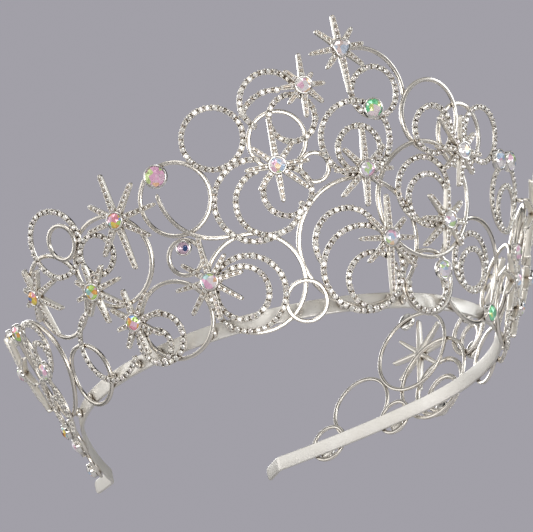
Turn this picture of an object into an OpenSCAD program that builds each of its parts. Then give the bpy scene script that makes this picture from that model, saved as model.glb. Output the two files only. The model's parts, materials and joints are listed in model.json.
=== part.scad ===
// Open-back crown: a springy strip carries leaning openwork of rings, crescents, stars and stones.
// Millimetres. Origin: centre of the strip's front arc, at the strip's lower edge. Front is -Y.

/* [Strip] */
// Radius of the strip's outer face over the front arc
band_radius = 69; // [62:0.5:75]
// Height of the strip
band_height = 5; // [4:0.5:8]
// Thickness of the strip
band_thickness = 1; // [0.8:0.1:1.4]
// Half of the angle that the front arc covers
arc_half_angle = 114; // [112:1:116]
// Radius of the flatter arms behind the front arc
arm_radius = 300; // [260:10:400]
// Length of each arm along its outer face
arm_length = 60; // [58:1:66]
// Angle that each tip turns outward
tip_turn = 42; // [30:1:55]
// Distance from the strip to the centre of the tip's bend
knee_radius = 2; // [1.5:0.5:4]
// Length of each straight tip
tip_length = 11; // [8:1:14]

/* [Openwork] */
// Outward lean of the openwork from the vertical
lean = 20; // [15:1:24]
// How far the lowest rings reach below the strip
hem_drop = 3; // [2:0.5:4]
// Width of the plain wire
wire_width = 1.3; // [1.2:0.1:1.6]
// Width of the stone-set wire
crystal_width = 1.9; // [1.7:0.1:2.3]
// Depth of each layer of the openwork
layer_depth = 1.1; // [1:0.1:1.3]

/* [Stars] */
// Depth of a star's rays
star_depth = 2.2; // [1.6:0.1:2.2]
// Radius of a star's hub
hub_radius = 2.6; // [2.2:0.1:3]
// Width of a ray where it leaves the hub
ray_width = 1.8; // [1.4:0.1:2.2]
// Width of a ray at its blunt tip
ray_tip_width = 1; // [0.8:0.1:1.2]
// Radius of the stone on each star
star_stone_radius = 2.3; // [2:0.1:2.6]

/* [Bezels] */
// Wall of a stone's cup
cup_wall = 0.45; // [0.4:0.05:0.6]
// Floor of a stone's cup
cup_floor = 0.6; // [0.5:0.1:1]
// Depth of the seat in a stone's cup
seat_depth = 1.2; // [1:0.1:1.6]

/* [Hidden] */

strip_silver = "#c9c6c0";
wire_silver = "#d6d4d0";
crystal_silver = "#dedee2";
cup_silver = "#cfcfcd";
stone_pink = "#e9c6dc";

band_facets = 240;
ring_facets = 72;
cup_facets = 48;
wire_half = wire_width / 2;
crystal_half = crystal_width / 2;
wedge_width = 1.9;
hub_sink = 1;
// A stone's clearance in its seat, how far its girdle stands over the cup, and its proportions
stone_gap = 0.05;
girdle_rise = 0.2;
table_share = 0.6;
crown_share = 0.35;
// Each stretch of the strip starts inside the one before it, with its faces set back by one step
strip_overlap = 0.2;
strip_step = 0.02;
bead_radius = 0.7;
arc_fan_steps = 6;
// Length of the rounded end of a ray
ray_nose = 0.3;
// The arm's face runs on past the strip's end, under the last ring
arm_face_share = 1.4;
sheet_low = -12;
sheet_high = 100;
cut_depth = 16;
// Reach of the crescents that are made of three wires
crescent_reach = 18;

// Length along the strip where the front arc passes into an arm
arc_length = band_radius * arc_half_angle * PI / 180;
arm_angle = arm_length / arm_radius * 180 / PI;
// Centre of the right arm's arc, tangent to the front arc
arm_centre = (band_radius - arm_radius) * [sin(arc_half_angle), -cos(arc_half_angle)];

// ---- Places on the leaning face: "along" follows the strip, "up" climbs the face ----

function side(along) = along < 0 ? -1 : 1;
function beyond(along) = max(0, abs(along) - arc_length);
function turn_of(along) =
    (min(abs(along), arc_length) / band_radius + beyond(along) / arm_radius) * 180 / PI;
function centre_of(along) = beyond(along) > 0 ? arm_centre : [0, 0];
function radius_of(along) = beyond(along) > 0 ? arm_radius : band_radius;
function spot_of(along) = [
    side(along) * (centre_of(along).x + radius_of(along) * sin(turn_of(along))),
    centre_of(along).y - radius_of(along) * cos(turn_of(along))
];

// Height on the face that brings a ring's lower edge to the hem, whatever its layer
function hem(radius, half_width, layer) =
    radius + half_width + (layer + 1) * layer_depth * tan(lean) - hem_drop / cos(lean);

// Whole hundredths keep neighbouring layers and neighbouring arcs face to face
function snap(value) = round(100 * value) / 100;

// Profile point of the face, "lift" outward from it
function sheet_point(radius, up, lift) = [
    radius + snap(up * sin(lean) + lift * cos(lean)),
    snap(up * cos(lean) - lift * sin(lean))
];

// Local x runs along the strip, y up the face and z outward
module on_face(along, up) {
    translate([spot_of(along).x, spot_of(along).y, 0])
        rotate([90 + lean, 0, side(along) * turn_of(along)])
            translate([0, up, 0])
                children();
}

module sheet_profile(radius, low, high) {
    polygon([
        sheet_point(radius, sheet_low, low),
        sheet_point(radius, sheet_low, high),
        sheet_point(radius, sheet_high, high),
        sheet_point(radius, sheet_high, low)
    ]);
}

// Frame where the right arm starts: x points outward and y back along the arm
module at_junction() {
    rotate(arc_half_angle - 90)
        translate([band_radius, 0, 0])
            children();
}

// The leaning face over the front arc, between two lifts
module front_sheet(low, high) {
    translate([-band_radius, 0, 0])
        rotate_extrude(angle = 2 * arc_half_angle, start = -2 * arc_half_angle, $fn = band_facets)
            sheet_profile(band_radius, low, high);
}

// The same face over an arm
module arm_sheet(low, high) {
    translate([-arm_radius, 0, 0])
        rotate_extrude(angle = arm_face_share * arm_angle, start = 0, $fn = 6 * band_facets)
            sheet_profile(arm_radius, low, high);
}

// The stretch of the face that a piece of the given reach needs
module sheet(along, reach, low, high) {
    mirror([along < 0 ? 1 : 0, 0, 0])
        at_junction() {
            if (abs(along) - reach < arc_length)
                front_sheet(low, high);
            if (abs(along) + reach > arc_length)
                arm_sheet(low, high);
        }
}

// A flat outline cut from the leaning face between two lifts
module cut_between(along, up, reach, low, high) {
    intersection() {
        sheet(along, reach, low, high);
        on_face(along, up)
            translate([0, 0, -cut_depth])
                linear_extrude(2 * cut_depth)
                    children();
    }
}

// A flat outline cut from one layer of the face
module formed(along, up, reach, layer) {
    cut_between(along, up, reach, layer * layer_depth, (layer + 1) * layer_depth)
        children();
}

module both_sides() {
    children();
    mirror([1, 0, 0])
        children();
}

// ---- Outlines ----

module ring(radius, half_width) {
    difference() {
        circle(r = radius + half_width, $fn = ring_facets);
        circle(r = radius - half_width, $fn = ring_facets);
    }
}

// Part of a ring, counted from the right-hand side towards the top and cut out by a fan
module arc(radius, half_width, from, to) {
    fan_radius = 2 * radius;
    fan_step = (to - from) / arc_fan_steps;
    intersection() {
        ring(radius, half_width);
        polygon([
            [0, 0],
            for (i = [0 : arc_fan_steps])
                fan_radius * [cos(from + fan_step * i), sin(from + fan_step * i)]
        ]);
    }
}

module plain_ring(along, up, layer, radius) {
    color(wire_silver)
        formed(along, up, radius + wire_half, layer)
            ring(radius, wire_half);
}

module plain_arc(along, up, layer, radius, from, to) {
    color(wire_silver)
        formed(along, up, radius + wire_half, layer)
            arc(radius, wire_half, from, to);
}

module crystal_ring(along, up, layer, radius) {
    color(crystal_silver)
        formed(along, up, radius + crystal_half, layer)
            ring(radius, crystal_half);
}

module crystal_arc(along, up, layer, radius, from, to) {
    color(crystal_silver)
        formed(along, up, radius + crystal_half, layer)
            arc(radius, crystal_half, from, to);
}

// Two stone-set rings, the smaller one shifted inside the larger so that they meet at one side
module crescent(along, up, layer, radius, inner_radius, shift) {
    color(crystal_silver)
        formed(along, up, radius + crystal_half, layer) {
            ring(radius, crystal_half);
            translate(shift)
                ring(inner_radius, crystal_half);
        }
}

// Eight rays, listed clockwise from the top
module star_outline(rays, tilt) {
    circle(r = hub_radius, $fn = ring_facets);
    for (i = [0 : len(rays) - 1])
        rotate(tilt - 45 * i)
            polygon([
                [-ray_width / 2, 0],
                [-ray_tip_width / 2, rays[i] - ray_nose],
                [-ray_tip_width / 4, rays[i]],
                [ray_tip_width / 4, rays[i]],
                [ray_tip_width / 2, rays[i] - ray_nose],
                [ray_width / 2, 0]
            ]);
}

module cup_body(radius) {
    cylinder(r = radius + cup_wall, h = cup_floor + seat_depth, $fn = cup_facets);
}

// The space for the stone, which runs out through the top of the cup
module cup_seat(radius) {
    translate([0, 0, cup_floor])
        cylinder(r = radius, h = 2 * seat_depth, $fn = cup_facets);
}

// Round cup with a seat for a stone, standing on the given lift
module cup(radius, lift) {
    translate([0, 0, lift])
        difference() {
            cup_body(radius);
            cup_seat(radius);
        }
}

// Round cut stone with its girdle just above the cup's rim
module stone(radius, lift) {
    girdle = seat_depth + girdle_rise;
    girdle_radius = radius - stone_gap;
    translate([0, 0, lift + cup_floor]) {
        cylinder(r = girdle_radius, h = girdle, $fn = cup_facets);
        translate([0, 0, girdle])
            cylinder(r1 = girdle_radius, r2 = table_share * radius, h = crown_share * radius, $fn = cup_facets);
    }
}

// Lift of the base of the cup that is sunk into a star's hub
function hub_cup_lift(layer) = layer * layer_depth + star_depth - hub_sink;

// A star that starts at its layer, with the cup of its stone sunk into the hub
module star(along, up, layer, rays, tilt) {
    low = layer * layer_depth;
    color(crystal_silver)
        difference() {
            union() {
                cut_between(along, up, max(rays), low, low + star_depth)
                    star_outline(rays, tilt);
                on_face(along, up)
                    translate([0, 0, hub_cup_lift(layer)])
                        cup_body(star_stone_radius);
            }
            on_face(along, up)
                translate([0, 0, hub_cup_lift(layer)])
                    cup_seat(star_stone_radius);
        }
}

// ---- Where the stars, the free stones and the solder are ----
// Each star: along, up, layer, rays clockwise from the top, tilt

peak_star_place = [-9.5, 77, 3, [10, 7.5, 8, 9, 14, 7.5, 9.5, 9], 8];
upper_left_star_place = [-18.5, 67, 3, [9.5, 5, 7, 8, 9.5, 7, 7, 7], 0];
left_star_place = [-27, 45, 3, [14.5, 9, 10, 11.5, 11, 9, 9.5, 9], 0];
centre_star_place = [-6.5, 40.8, 4, [13.5, 10, 9.5, 7.5, 11, 11, 9.5, 9], 0];
centre_low_star_place = [-1.5, 20.3, 4, [13, 8.5, 9.5, 12.5, 17, 10, 9.5, 9], 0];
left_low_star_place = [-49, 16.8, 4, [13.5, 9, 10, 11, 12, 11.5, 11, 10], 0];
right_side_star_place = [58, 17, 2, [11, 9.5, 9, 9.5, 10.5, 9, 9, 9.5], 0];
right_high_star_place = [21, 48, 4, [11, 9, 10, 9, 11, 9, 10, 13], 0];
right_low_star_place = [17.5, 26.5, 3, [10, 9, 9, 10, 9, 12, 9, 10], 0];
temple_star_place = [-66.5, 43, 4, [14.5, 12, 13, 11.5, 15.5, 12, 11, 10.5], 0];
back_star_place = [-80, 27, 4, [9, 8.5, 10, 10.5, 10.5, 8.5, 8, 8], 0];
side_star_place = [-73.5, 13.5, 2, [10.5, 9.5, 9, 9.5, 10.5, 9, 7.5, 9.5], 0];
rear_star_place = [-103.5, 37, 1, [9.5, 9, 12, 12, 14, 9, 8, 7], 0];
arm_star_place = [-141, 29, 3, [14, 13, 13, 12, 16, 12, 11.5, 12], 0];

single_stars = [
    peak_star_place, upper_left_star_place, left_star_place, centre_star_place,
    centre_low_star_place, left_low_star_place, right_side_star_place, right_high_star_place,
    right_low_star_place
];
paired_stars = [temple_star_place, back_star_place, side_star_place, rear_star_place, arm_star_place];

// Each free stone: along, up, lift of its cup, radius
single_bezels = [
    [-54.9, 51, 1.1, 3.1],
    [-53.8, 28.5, 1.1, 1.9],
    [-3.4, 58.8, 4.4, 2.7],
    [16.5, 11.5, 3.3, 2.6],
    [38, 49.5, 3.3, 2.9],
    [45.5, 51.5, 2.2, 2.9],
    [51.5, 24, 4.4, 2.5],
    [43, 2.2, 1.1, 2.5]
];
paired_bezels = [
    [120.5, 34, 3.3, 2.7],
    [117.5, 18.3, 3.3, 2.7],
    [144.5, 43, 1.1, 2.7],
    [149.5, 1.4, 1.1, 2.2],
    [179.5, 1.4, 1.1, 2.2],
    [131.5, 1.7, 3.3, 2.2]
];

// Rings soldered to the strip: along, up, layer, radius
soldered_rings = [
    [-7.5, 20, 0, 19],
    [-38, hem(14.5, wire_half, 1), 1, 14.5],
    [34, hem(16, wire_half, 0), 0, 16],
    [13, hem(9.5, wire_half, 1), 1, 9.5]
];
paired_soldered_rings = [
    [63, hem(11.5, wire_half, 0), 0, 11.5],
    [87.2, 12, 1, 11.2],
    [101, hem(9.5, wire_half, 0), 0, 9.5],
    [178, hem(6.5, wire_half, 0), 0, 6.5]
];
// Single joints with the strip on each side: along, layer
paired_wedges = [
    [122, 1],
    [155.4, 0]
];
// Beads between pieces that cross a gap: along, up, lower layer, upper layer
single_beads = [
    [27.6, 48.1, 2, 4],
    [56.5, 43, 1, 4],
    [-55, 17, 0, 4],
    [-52.7, 21, 0, 4]
];
paired_beads = [
    [87, 36, 0, 2]
];

module placed_star(place) {
    star(place[0], place[1], place[2], place[3], place[4]);
}

// ---- The strip ----

// Cross-section of the strip, with its faces set back by the given amount
module strip_profile(radius, set_back) {
    translate([radius - band_thickness + set_back, set_back])
        square([band_thickness - 2 * set_back, band_height - 2 * set_back]);
}

module arm() {
    overlap = strip_overlap / arm_radius * 180 / PI;
    translate([-arm_radius, 0, 0])
        rotate_extrude(angle = arm_angle + overlap, start = -overlap, $fn = 6 * band_facets)
            strip_profile(arm_radius, strip_step);
}

// Outward bend and straight tip at the end of an arm
module tip() {
    overlap = strip_overlap / knee_radius * 180 / PI;
    translate([-arm_radius, 0, 0])
        rotate(arm_angle)
            translate([arm_radius + knee_radius, 0, 0]) {
                rotate_extrude(angle = tip_turn + overlap, start = 180 - tip_turn, $fn = band_facets)
                    mirror([1, 0])
                        strip_profile(-knee_radius, 2 * strip_step);
                rotate(-tip_turn)
                    translate([-knee_radius, -strip_overlap, 0])
                        rotate([90, 0, 180])
                            mirror([1, 0, 0])
                                linear_extrude(tip_length + strip_overlap)
                                    strip_profile(0, 3 * strip_step);
            }
}

module strip() {
    color(strip_silver) {
        rotate_extrude(angle = 2 * arc_half_angle, start = -90 - arc_half_angle, $fn = band_facets)
            strip_profile(band_radius, 0);
        both_sides()
            at_junction() {
                arm();
                tip();
            }
    }
}

// ---- Solder ----

// Wedge that fills the gap between the upright strip and a layer of the leaning face
module wedge(along, layer) {
    radius = radius_of(along);
    lift = layer * layer_depth / cos(lean);
    angle = wedge_width / radius * 180 / PI;
    mirror([along < 0 ? 1 : 0, 0, 0])
        translate([centre_of(along).x, centre_of(along).y, 0])
            rotate_extrude(angle = angle, start = turn_of(along) - 90 - angle / 2, $fn = band_facets)
                polygon([
                    [radius, 0],
                    [radius, band_height],
                    [radius + band_height * tan(lean) + lift, band_height],
                    if (layer > 0) [radius + lift, 0]
                ]);
}

// The two wedges where a ring's wire crosses the strip
module ring_wedges(place) {
    drop = place[1] - band_height / 2 / cos(lean);
    reach = sqrt(place[3] * place[3] - drop * drop);
    wedge(place[0] - reach, place[2]);
    wedge(place[0] + reach, place[2]);
}

module bead(place) {
    cut_between(place[0], place[1], bead_radius, (place[2] + 1) * layer_depth, place[3] * layer_depth)
        circle(r = bead_radius, $fn = cup_facets);
}

module solder() {
    color(cup_silver) {
        for (place = soldered_rings)
            ring_wedges(place);
        for (place = single_beads)
            bead(place);
        both_sides() {
            for (place = paired_soldered_rings)
                ring_wedges(place);
            for (place = paired_wedges)
                wedge(place[0], place[1]);
            for (place = paired_beads)
                bead(place);
        }
    }
}

// ---- Plain rings ----

module great_ring() {
    plain_ring(-7.5, 20, 0, 19);
}

module left_front_ring() {
    plain_ring(-38, hem(14.5, wire_half, 1), 1, 14.5);
}

module right_low_ring() {
    plain_ring(34, hem(16, wire_half, 0), 0, 16);
}

module side_low_rings() {
    both_sides()
        plain_ring(63, hem(11.5, wire_half, 0), 0, 11.5);
}

module left_high_ring() {
    plain_ring(-52.5, 43, 0, 10.8);
}

module left_stone_ring() {
    plain_ring(-54.5, 25.7, 0, 5.2);
}

module left_sweep_arc() {
    plain_arc(-42, 45.5, 1, 17.5, 180, 273);
}

module temple_rings() {
    both_sides()
        plain_ring(-74, 33, 1, 13.6);
}

module back_rings() {
    both_sides()
        plain_ring(-97.6, 33, 0, 13);
}

module upper_left_ring() {
    plain_ring(-25.5, 52.5, 0, 8.5);
}

module small_rings() {
    plain_ring(-25.5, hem(6, wire_half, 2), 2, 6);
    plain_ring(-17.8, 43, 1, 4.3);
}

module peak_arc() {
    plain_arc(-4.5, 62.5, 0, 15, 0, 105);
}

module right_peak_ring() {
    plain_ring(14, 58, 1, 11);
}

module right_high_ring() {
    plain_ring(25, 54, 0, 9.8);
}

module right_big_ring() {
    plain_ring(12, 32.5, 2, 17.4);
}

module right_stone_ring() {
    plain_ring(13, hem(9.5, wire_half, 1), 1, 9.5);
}

module arm_tall_rings() {
    both_sides()
        plain_ring(141, 28, 0, 15);
}

// The left one stands further forward than the right one
module arm_low_rings() {
    plain_ring(132.5, hem(15, wire_half, 1), 1, 15);
    plain_ring(-122, 19.6, 1, 16.4);
}

module arm_rear_rings() {
    both_sides()
        plain_ring(164.5, 14.5, 1, 11.5);
}

// Three low rings on each side, in the gaps between the taller ones
module rear_hem_rings() {
    both_sides() {
        plain_ring(101, hem(9.5, wire_half, 0), 0, 9.5);
        plain_ring(149.5, hem(6, wire_half, 0), 0, 6);
        plain_ring(178, hem(6.5, wire_half, 0), 0, 6.5);
    }
}

module back_small_rings() {
    both_sides()
        plain_ring(-84.3, 45, 3, 5.2);
}

// ---- Stone-set rings and crescents ----

module back_crystal_rings() {
    both_sides()
        crystal_ring(-87.5, 46, 2, 10.2);
}

module upper_left_crystal_ring() {
    crystal_ring(-40, 56.8, 1, 9.1);
}

module upper_left_crescent() {
    color(crystal_silver)
        formed(-26, 64, crescent_reach, 2) {
            arc(8.6, crystal_half, 20, 235);
            translate([1, -8])
                arc(11, crystal_half, 75, 155);
            translate([5.8, -6])
                ring(6.9, crystal_half);
        }
}

module left_crescent() {
    color(crystal_silver)
        formed(-33.5, 36.3, crescent_reach, 2) {
            arc(12, crystal_half, 70, 300);
            translate([3.8, -1.3])
                arc(9.7, crystal_half, 95, 350);
            translate([9.8, 0.5])
                ring(7.1, crystal_half);
        }
}

module centre_crystal_rings() {
    crescent(-7.5, 50.3, 3, 11, 6.8, [0.7, -3.2]);
}

module peak_crystal_ring() {
    crystal_ring(-1.8, 64, 2, 7.5);
}

module centre_crescent() {
    color(crystal_silver)
        formed(-8.5, hem(12.6, crystal_half, 3), crescent_reach, 3) {
            ring(12.6, crystal_half);
            translate([-4.3, 8])
                arc(10, crystal_half, 20, 215);
            translate([2.8, -3.7])
                ring(8.2, crystal_half);
        }
}

module left_low_crescent() {
    crescent(-40.5, hem(11, crystal_half, 3), 3, 11, 7.7, [-1.5, 0.6]);
}

module side_small_crescents() {
    both_sides()
        crescent(-69, hem(7.5, crystal_half, 1), 1, 7.5, 4.8, [-2.1, -1.6]);
}

module temple_crescents() {
    both_sides()
        crystal_ring(-76, 36.5, 3, 6);
}

module right_crescent() {
    crescent(12, 35.5, 1, 9.8, 7.8, [1.7, -3]);
}

module right_crystal_ring() {
    crystal_ring(13.5, 53.5, 3, 7.2);
}

module right_high_crystal_ring() {
    crystal_ring(31, 55.5, 2, 8.5);
}

module right_low_crystal_arc() {
    crystal_arc(12, hem(7.2, crystal_half, 2), 2, 7.2, 165, 405);
}

module side_crystal_arcs() {
    both_sides()
        crystal_arc(-87.2, 12, 1, 11.2, 95, 318);
}

module right_small_crescent() {
    crescent(31, 16, 1, 8.5, 6.5, [1.1, -2.5]);
}

module right_side_crescent() {
    crescent(48, 40.5, 1, 10.5, 7.2, [1.8, -3]);
}

module arm_high_crescents() {
    both_sides()
        crescent(118, 26, 2, 8.5, 5, [-0.6, -3.5]);
}

module arm_low_crescents() {
    both_sides()
        crescent(131, hem(10.5, crystal_half, 2), 2, 10.5, 6.5, [-1.1, -3.2]);
}

// ---- Stars ----

module peak_star() {
    placed_star(peak_star_place);
}

module upper_left_star() {
    placed_star(upper_left_star_place);
}

module left_star() {
    placed_star(left_star_place);
}

module centre_star() {
    placed_star(centre_star_place);
}

module centre_low_star() {
    placed_star(centre_low_star_place);
}

module left_low_star() {
    placed_star(left_low_star_place);
}

module right_side_star() {
    placed_star(right_side_star_place);
}

module right_high_star() {
    placed_star(right_high_star_place);
}

module right_low_star() {
    placed_star(right_low_star_place);
}

module temple_stars() {
    both_sides()
        placed_star(temple_star_place);
}

module back_stars() {
    both_sides()
        placed_star(back_star_place);
}

module side_stars() {
    both_sides()
        placed_star(side_star_place);
}

module rear_stars() {
    both_sides()
        placed_star(rear_star_place);
}

module arm_stars() {
    both_sides()
        placed_star(arm_star_place);
}

// ---- Stones and their cups ----

module star_stone(place) {
    on_face(place[0], place[1])
        stone(star_stone_radius, hub_cup_lift(place[2]));
}

module star_stones() {
    color(stone_pink) {
        for (place = single_stars)
            star_stone(place);
        both_sides()
            for (place = paired_stars)
                star_stone(place);
    }
}

module bezel_cup(place) {
    on_face(place[0], place[1])
        cup(place[3], place[2]);
}

module bezel_cups() {
    color(cup_silver) {
        for (place = single_bezels)
            bezel_cup(place);
        both_sides()
            for (place = paired_bezels)
                bezel_cup(place);
    }
}

module bezel_stone(place) {
    on_face(place[0], place[1])
        stone(place[3], place[2]);
}

module bezel_stones() {
    color(stone_pink) {
        for (place = single_bezels)
            bezel_stone(place);
        both_sides()
            for (place = paired_bezels)
                bezel_stone(place);
    }
}

strip();
solder();
great_ring();
left_front_ring();
right_low_ring();
side_low_rings();
left_high_ring();
left_stone_ring();
left_sweep_arc();
temple_rings();
back_rings();
upper_left_ring();
small_rings();
peak_arc();
right_peak_ring();
right_high_ring();
right_big_ring();
right_stone_ring();
arm_tall_rings();
arm_low_rings();
arm_rear_rings();
rear_hem_rings();
back_small_rings();
back_crystal_rings();
upper_left_crystal_ring();
upper_left_crescent();
left_crescent();
centre_crystal_rings();
peak_crystal_ring();
centre_crescent();
left_low_crescent();
side_small_crescents();
temple_crescents();
right_crescent();
right_crystal_ring();
right_high_crystal_ring();
right_low_crystal_arc();
side_crystal_arcs();
right_small_crescent();
right_side_crescent();
arm_high_crescents();
arm_low_crescents();
peak_star();
upper_left_star();
left_star();
centre_star();
centre_low_star();
left_low_star();
right_side_star();
temple_stars();
back_stars();
side_stars();
rear_stars();
right_high_star();
right_low_star();
arm_stars();
star_stones();
bezel_cups();
bezel_stones();
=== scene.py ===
"""Open-back crown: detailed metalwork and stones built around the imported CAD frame."""

import json
import math

import bmesh
import bpy
import numpy as np
from mathutils import Matrix, Vector


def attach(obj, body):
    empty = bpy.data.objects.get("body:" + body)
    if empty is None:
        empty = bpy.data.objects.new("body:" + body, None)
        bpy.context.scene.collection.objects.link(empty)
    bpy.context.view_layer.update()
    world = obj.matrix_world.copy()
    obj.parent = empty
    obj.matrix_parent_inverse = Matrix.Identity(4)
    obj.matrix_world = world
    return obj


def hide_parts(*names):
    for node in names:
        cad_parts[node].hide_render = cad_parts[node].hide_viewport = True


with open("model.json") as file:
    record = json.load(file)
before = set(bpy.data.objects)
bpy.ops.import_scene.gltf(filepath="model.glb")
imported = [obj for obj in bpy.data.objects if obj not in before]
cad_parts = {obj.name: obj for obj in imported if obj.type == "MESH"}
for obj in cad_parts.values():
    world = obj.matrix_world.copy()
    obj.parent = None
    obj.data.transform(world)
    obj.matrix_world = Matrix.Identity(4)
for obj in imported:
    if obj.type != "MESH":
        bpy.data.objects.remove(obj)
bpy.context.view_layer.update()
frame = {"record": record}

# ---------------------------------------------------------------- sizes, in millimetres

MM = 0.001
random = np.random.default_rng(7)

head_fit = frame["record"]["mounts"][0]["dims"]
STRIP_THICKNESS = 1.0
STRIP_HEIGHT = head_fit["length_mm"]
STRIP_ROUND = 0.32
BAND_RADIUS = head_fit["r_mm"] + STRIP_THICKNESS
ARC_HALF_ANGLE = math.radians(114)
ARM_RADIUS = 300.0
ARM_LENGTH = 60.0
KNEE_RADIUS = 2.0
TIP_TURN = math.radians(42)
TIP_LENGTH = 11.0

LEAN = math.radians(20)
LAYER = 1.1
HEM_DROP = 3.0
WIRE_HALF = 0.65
CRYSTAL_HALF = 0.95

STAR_DEPTH = 2.2
STAR_STONE = 2.3
HUB_SINK = 1.0
CUP_WALL = 0.45
CUP_FLOOR = 0.6
SEAT_DEPTH = 1.2

# Material slots of the pieces set with small stones
# The bed slot takes a darker metal: painted shade in the grooves.
SLOT_METAL, SLOT_SHADED_BED, SLOT_STONE, SLOT_BEAD, SLOT_CUP = range(5)


def facing(turn):
    """The outward direction in plan, at an angle from the front."""
    return np.array([math.sin(turn), -math.cos(turn)])


ARC_LENGTH = BAND_RADIUS * ARC_HALF_ANGLE
ARM_CENTRE = (BAND_RADIUS - ARM_RADIUS) * facing(ARC_HALF_ANGLE)


def unit(vectors):
    return vectors / np.linalg.norm(vectors, axis=-1, keepdims=True)


def circle(steps):
    """Angles evenly spaced round a circle."""
    return np.arange(steps) * 2 * math.pi / steps


def alone(*place):
    """The place of a single copy, for Build.many."""
    return [vector[None] for vector in place]


def hem(radius, half_width, layer):
    """Height on the leaning face that brings a ring's lower edge to the hem."""
    return radius + half_width + (layer + 1) * LAYER * math.tan(LEAN) - HEM_DROP / math.cos(LEAN)


def on_hem(along, layer, radius):
    """A plain ring (along, up, layer, radius) whose lower edge meets the hem."""
    return (along, hem(radius, WIRE_HALF, layer), layer, radius)


# ---------------------------------------------------------------- places on the leaning face


NUDGE = 0.05  # the step that measures a direction on the face


class Face:
    """The leaning face around one place: local x runs along the strip, y up the face, lift outward."""

    def __init__(self, along, up):
        self.side = -1 if along < 0 else 1
        distance = abs(along)
        turn = min(distance, ARC_LENGTH) / BAND_RADIUS
        centre, radius = np.zeros(2), BAND_RADIUS
        if distance > ARC_LENGTH:
            turn += (distance - ARC_LENGTH) / ARM_RADIUS
            centre, radius = ARM_CENTRE, ARM_RADIUS
        signed = self.side * turn
        spot = centre + radius * facing(turn)
        self.x = np.array([math.cos(signed), math.sin(signed), 0])
        self.y = np.array(
            [math.sin(LEAN) * math.sin(signed), -math.sin(LEAN) * math.cos(signed), math.cos(LEAN)]
        )
        self.z = np.array(
            [math.cos(LEAN) * math.sin(signed), -math.cos(LEAN) * math.cos(signed), -math.sin(LEAN)]
        )
        self.origin = np.array([self.side * spot[0], spot[1], 0]) + self.y * up

    def at(self, x, y, lift):
        """World points of local points, bent onto the cone that the face follows."""
        x, y, lift = np.broadcast_arrays(np.asarray(x, float), y, lift)
        point = self.origin + x[..., None] * self.x + y[..., None] * self.y + lift[..., None] * self.z
        for _ in range(5):
            folded = point[..., :2] * np.array([self.side, 1])
            angle = np.arctan2(folded[..., 0], -folded[..., 1])
            on_arm = (angle > ARC_HALF_ANGLE)[..., None]
            centre = np.where(on_arm, ARM_CENTRE, 0.0)
            radius = np.where(on_arm[..., 0], ARM_RADIUS, BAND_RADIUS)
            reach = np.linalg.norm(folded - centre, axis=-1)
            wanted = radius + point[..., 2] * math.tan(LEAN) + lift / math.cos(LEAN)
            point = point + ((wanted - reach) * math.cos(LEAN))[..., None] * self.z
        return point

    def axes(self, flat, lift):
        """World points of local points (n, 2), with unit axes along the strip, up the face and outward."""
        x, y = flat.T
        here = self.at(x, y, lift)
        x_axis = unit(self.at(x + NUDGE, y, lift) - here)
        z_axis = unit(np.cross(x_axis, self.at(x, y + NUDGE, lift) - here))
        return here, x_axis, np.cross(z_axis, x_axis), z_axis


# ---------------------------------------------------------------- mesh building


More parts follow.
